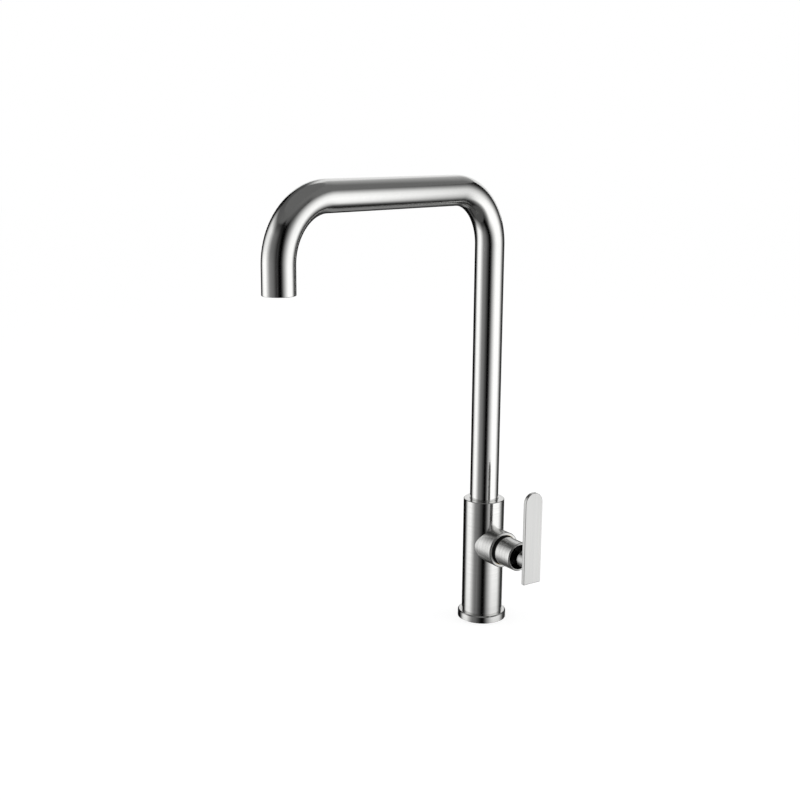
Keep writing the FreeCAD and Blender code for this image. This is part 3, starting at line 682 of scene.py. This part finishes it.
def make_camera():
    """Camera of the photograph: its bearing, height, slight roll and lens."""
    lens = bpy.data.cameras.new("camera")
    lens.lens = CAMERA_LENS
    lens.sensor_width = SENSOR_WIDTH
    lens.dof.use_dof = False
    camera = bpy.data.objects.new("camera", lens)
    bpy.context.scene.collection.objects.link(camera)
    back = TO_CAMERA * math.cos(CAMERA_ELEVATION) + UP * math.sin(CAMERA_ELEVATION)
    level_up = back.cross(TO_RIGHT)
    right = TO_RIGHT * math.cos(CAMERA_ROLL) + level_up * math.sin(CAMERA_ROLL)
    up = back.cross(right)
    aim = TO_RIGHT * AIM_ASIDE + UP * AIM_Z
    turn = Matrix((right, up, back)).transposed().to_4x4()
    camera.matrix_world = Matrix.Translation(aim + back * CAMERA_DISTANCE) @ turn
    bpy.context.scene.camera = camera


# ---- studio -----------------------------------------------------------------
SCREEN_POINTS = 360
DISC_POINTS = 128
SCREEN_FOOT = -2.0
SCREEN_HEAD = 3.0
GLOW_PEAK = 1.6
NEAR = 0.75
FAR = 1.4
OUTER = 1.5
FLOOR_SIZE = 12.0
FLOOR_PAINT = 0.8
FLOOR_SHADE = 0.45
FLOOR_GLOW = 0.72
FILL_LEVEL = 0.62


def bearing_way(bearing):
    """Level direction at a bearing in degrees; 0 is the camera's, + to its right."""
    turn = math.radians(bearing)
    return TO_CAMERA * math.cos(turn) + TO_RIGHT * math.sin(turn)


def ramp_of(nodes, links, source, stops):
    """Grey ramp through (position, tone) stops, the tones as parts of GLOW_PEAK."""
    ramp = nodes.new("ShaderNodeValToRGB")
    links.new(source, ramp.inputs["Fac"])
    marks = ramp.color_ramp.elements
    marks.remove(marks[1])
    marks[0].position = stops[0][0]
    marks[0].color = (stops[0][1],) * 3 + (1.0,)
    for position, tone in stops[1:]:
        mark = marks.new(position)
        mark.color = (tone, tone, tone, 1.0)
    return ramp.outputs["Color"]


def glow(name, tones, heights):
    """Screen cloth: tones are (bearing, tone), heights are (height, share of it)."""
    cloth = bpy.data.materials.new(name)
    cloth.use_nodes = True
    nodes = cloth.node_tree.nodes
    links = cloth.node_tree.links
    nodes.clear()
    output = nodes.new("ShaderNodeOutputMaterial")
    light = nodes.new("ShaderNodeEmission")
    light.inputs["Strength"].default_value = GLOW_PEAK
    links.new(light.outputs["Emission"], output.inputs["Surface"])
    place = nodes.new("ShaderNodeTexCoord")
    turn = nodes.new("ShaderNodeMapping")
    # the radial gradient starts behind the object and runs once round it
    turn.inputs["Rotation"].default_value = (0.0, 0.0, QUARTER - CAMERA_AZIMUTH)
    links.new(place.outputs["Object"], turn.inputs["Vector"])
    around = nodes.new("ShaderNodeTexGradient")
    around.gradient_type = "RADIAL"
    links.new(turn.outputs["Vector"], around.inputs["Vector"])
    by_bearing = ramp_of(nodes, links, around.outputs["Color"], [
        ((0.5 + bearing / 360.0) % 1.0, tone / GLOW_PEAK) for bearing, tone in tones])
    parts = nodes.new("ShaderNodeSeparateXYZ")
    links.new(place.outputs["Object"], parts.inputs["Vector"])
    rise = nodes.new("ShaderNodeMapRange")
    rise.inputs["From Min"].default_value = SCREEN_FOOT
    rise.inputs["From Max"].default_value = SCREEN_HEAD
    links.new(parts.outputs["Z"], rise.inputs["Value"])
    by_height = ramp_of(nodes, links, rise.outputs["Result"], [
        ((height - SCREEN_FOOT) / (SCREEN_HEAD - SCREEN_FOOT), share)
        for height, share in heights])
    both = nodes.new("ShaderNodeMix")
    both.data_type = "RGBA"
    both.blend_type = "MULTIPLY"
    both.inputs["Factor"].default_value = 1.0
    links.new(by_bearing, both.inputs["A"])
    links.new(by_height, both.inputs["B"])
    links.new(both.outputs["Result"], light.inputs["Color"])
    return cloth


def hide_from_all_but_metal(thing):
    """A screen that only shows in polished surfaces."""
    thing.visible_camera = False
    thing.visible_diffuse = False
    thing.visible_transmission = False
    thing.visible_volume_scatter = False
    thing.visible_shadow = False


def studio_screen(name, left, right, low, high, radius, tones, heights=((0.0, 1.0),)):
    """Upright curved screen between two bearings and two heights."""
    screen = start_ring(name, radius, UP * low, UP, SCREEN_POINTS)
    pull_ring(UP * (high - low))
    bpy.ops.object.mode_set(mode="OBJECT")
    middle = bearing_way((left + right) / 2.0)
    reach = math.cos(math.radians((right - left) / 2.0))
    bpy.ops.object.mode_set(mode="EDIT")
    bpy.ops.mesh.select_mode(type="FACE")
    bpy.ops.object.mode_set(mode="OBJECT")
    for face in screen.data.polygons:
        level = Vector((face.center.x, face.center.y, 0.0)).normalized()
        face.select = level.dot(middle) < reach
    bpy.ops.object.mode_set(mode="EDIT")
    bpy.ops.mesh.delete(type="FACE")
    bpy.ops.object.mode_set(mode="OBJECT")
    wear(screen, glow(name, tones, heights))
    hide_from_all_but_metal(screen)


def studio_disc(name, height, radius, tone):
    """Level disc that closes the ring of screens above or below."""
    disc = start_ring(name, radius, UP * height, UP, DISC_POINTS)
    bpy.ops.mesh.edge_face_add()
    bpy.ops.object.mode_set(mode="OBJECT")
    wear(disc, glow(name, [(0.0, tone)], ((0.0, 1.0),)))
    hide_from_all_but_metal(disc)


def softbox(name, bearing, distance, height, width, tall, radiance):
    """Area lamp that faces the faucet and lights what isn't polished."""
    lamp = bpy.data.lights.new(name, "AREA")
    lamp.shape = "RECTANGLE"
    lamp.size = width
    lamp.size_y = tall
    lamp.energy = radiance * math.pi * width * tall
    box = bpy.data.objects.new(name, lamp)
    bpy.context.scene.collection.objects.link(box)
    box.location = bearing_way(bearing) * distance + UP * height
    box.rotation_euler = (-bearing_way(bearing)).to_track_quat("-Z", "Y").to_euler()
    box.visible_camera = False
    box.visible_glossy = False


def make_floor():
    """Pale floor that stays white to the camera and keeps the shadow."""
    lay_down_tools()
    bpy.ops.mesh.primitive_plane_add(size=FLOOR_SIZE, location=DECK_POINT)
    floor = bpy.context.object
    floor.name = "floor"
    paint = bpy.data.materials.new("floor_white")
    paint.use_nodes = True
    nodes = paint.node_tree.nodes
    links = paint.node_tree.links
    nodes.clear()
    output = nodes.new("ShaderNodeOutputMaterial")
    matt = nodes.new("ShaderNodeBsdfDiffuse")
    matt.inputs["Color"].default_value = (FLOOR_PAINT,) * 3 + (1.0,)
    shade = nodes.new("ShaderNodeBsdfDiffuse")
    shade.inputs["Color"].default_value = (FLOOR_SHADE,) * 3 + (1.0,)
    light = nodes.new("ShaderNodeEmission")
    light.inputs["Strength"].default_value = FLOOR_GLOW
    seen = nodes.new("ShaderNodeAddShader")
    path = nodes.new("ShaderNodeLightPath")
    pick = nodes.new("ShaderNodeMixShader")
    links.new(shade.outputs["BSDF"], seen.inputs[0])
    links.new(light.outputs["Emission"], seen.inputs[1])
    links.new(path.outputs["Is Camera Ray"], pick.inputs["Fac"])
    links.new(matt.outputs["BSDF"], pick.inputs[1])
    links.new(seen.outputs["Shader"], pick.inputs[2])
    links.new(pick.outputs["Shader"], output.inputs["Surface"])
    wear(floor, paint)
    floor.visible_glossy = False
    floor.visible_shadow = False


def make_world():
    """White to the camera, to metal and through glass; a softer fill elsewhere."""
    world = bpy.data.worlds.new("studio")
    bpy.context.scene.world = world
    world.use_nodes = True
    nodes = world.node_tree.nodes
    links = world.node_tree.links
    background = nodes["Background"]
    background.inputs["Color"].default_value = (1.0, 1.0, 1.0, 1.0)
    path = nodes.new("ShaderNodeLightPath")
    either = nodes.new("ShaderNodeMath")
    either.operation = "MAXIMUM"
    links.new(path.outputs["Is Camera Ray"], either.inputs[0])
    links.new(path.outputs["Is Glossy Ray"], either.inputs[1])
    seen = nodes.new("ShaderNodeMath")
    seen.operation = "MAXIMUM"
    links.new(either.outputs["Value"], seen.inputs[0])
    links.new(path.outputs["Is Transmission Ray"], seen.inputs[1])
    level = nodes.new("ShaderNodeMapRange")
    level.inputs["To Min"].default_value = FILL_LEVEL
    level.inputs["To Max"].default_value = 1.0
    links.new(seen.outputs["Value"], level.inputs["Value"])
    links.new(level.outputs["Result"], background.inputs["Strength"])


make_camera()
make_world()
make_floor()
softbox(
    "softbox_left", bearing=-91.0, distance=1.0, height=0.18, width=0.78, tall=1.15,
    radiance=1.30)
softbox(
    "softbox_right", bearing=89.0, distance=1.0, height=0.18, width=0.82, tall=1.15,
    radiance=1.60)

# Tones are (bearing in degrees, radiance), heights are (metres, share of it).
LEFT_TONES = [
    (-134.0, 0.0), (-126.0, 0.02), (-118.0, 0.35), (-110.0, 0.95), (-101.0, 1.5), (-80.0, 1.6),
    (-65.0, 0.85), (-52.0, 0.35), (-30.0, 0.2), (-12.0, 0.0)]
FLOOR_LEFT_TONES = [
    (-180.0, 0.1), (-150.0, 0.1), (-134.0, 0.12), (-122.0, 0.3), (-112.0, 0.6), (-101.0, 0.85),
    (-80.0, 0.9), (-65.0, 0.5), (-52.0, 0.22), (-30.0, 0.14), (-18.0, 0.1)]
RIGHT_TONES = [
    (-18.0, 0.09), (-7.0, 0.0), (5.0, 0.0), (12.0, 0.1), (28.0, 0.7), (44.0, 1.35),
    (56.0, 1.6), (84.0, 1.55), (93.0, 1.3), (100.0, 0.9), (112.0, 0.35), (122.0, 0.05)]
HIGH_LEFT_TONES = [(-176.0, 0.85), (-165.0, 0.25), (-158.0, 0.1), (-18.0, 0.17)]
HIGH_RIGHT_TONES = [(66.0, 0.2), (120.0, 0.2), (145.0, 0.4), (160.0, 0.55), (168.0, 0.8)]

studio_screen(
    "screen_left", left=-150.0, right=0.0, low=-0.4, high=1.6, radius=FAR, tones=LEFT_TONES,
    heights=[(-0.2, 0.95), (0.3, 1.0), (0.6, 0.8), (1.1, 0.78), (1.3, 0.42), (1.6, 0.1)])
studio_screen(
    "screen_low_left", left=-180.0, right=-18.0, low=-0.38, high=-0.04, radius=NEAR,
    tones=LEFT_TONES, heights=[(-0.38, 0.54), (-0.28, 0.84), (-0.1, 0.96)])
studio_screen(
    "screen_floor_left", left=-180.0, right=-18.0, low=-1.1, high=-0.37, radius=NEAR,
    tones=FLOOR_LEFT_TONES, heights=[(-1.1, 0.12), (-0.65, 0.5), (-0.5, 0.8), (-0.38, 1.0)])
studio_screen(
    "screen_right", left=-18.0, right=140.0, low=-1.2, high=0.82, radius=NEAR,
    tones=RIGHT_TONES, heights=[
        (-0.8, 0.07), (-0.46, 0.28), (-0.34, 0.55), (-0.26, 0.85), (-0.15, 1.0), (0.22, 1.0),
        (0.45, 0.85), (0.66, 0.42), (0.82, 0.13)])
studio_screen(
    "screen_back_right", left=126.0, right=180.0, low=-1.6, high=0.38, radius=FAR,
    tones=[(0.0, 0.28)], heights=[(-0.75, 1.0), (-0.45, 0.15)])
studio_screen(
    "screen_back_left", left=-180.0, right=-150.0, low=-1.6, high=0.38, radius=FAR,
    tones=[(0.0, 0.01)])
studio_screen(
    "screen_high_left", left=-176.0, right=-18.0, low=1.15, high=2.8, radius=OUTER,
    tones=HIGH_LEFT_TONES)
studio_screen(
    "screen_high_front", left=-18.0, right=66.0, low=0.6, high=2.8, radius=OUTER,
    tones=[(-18.0, 0.17), (66.0, 0.2)], heights=[(1.2, 0.25), (1.5, 0.6), (2.0, 1.0)])
studio_screen(
    "screen_high_right", left=66.0, right=168.0, low=1.15, high=2.8, radius=OUTER,
    tones=HIGH_RIGHT_TONES)
studio_disc("screen_above", height=2.8, radius=OUTER, tone=0.18)
studio_disc("screen_below", height=-1.6, radius=FAR, tone=0.1)

view = bpy.context.scene.view_settings
view.view_transform = "Standard"

lay_down_tools()
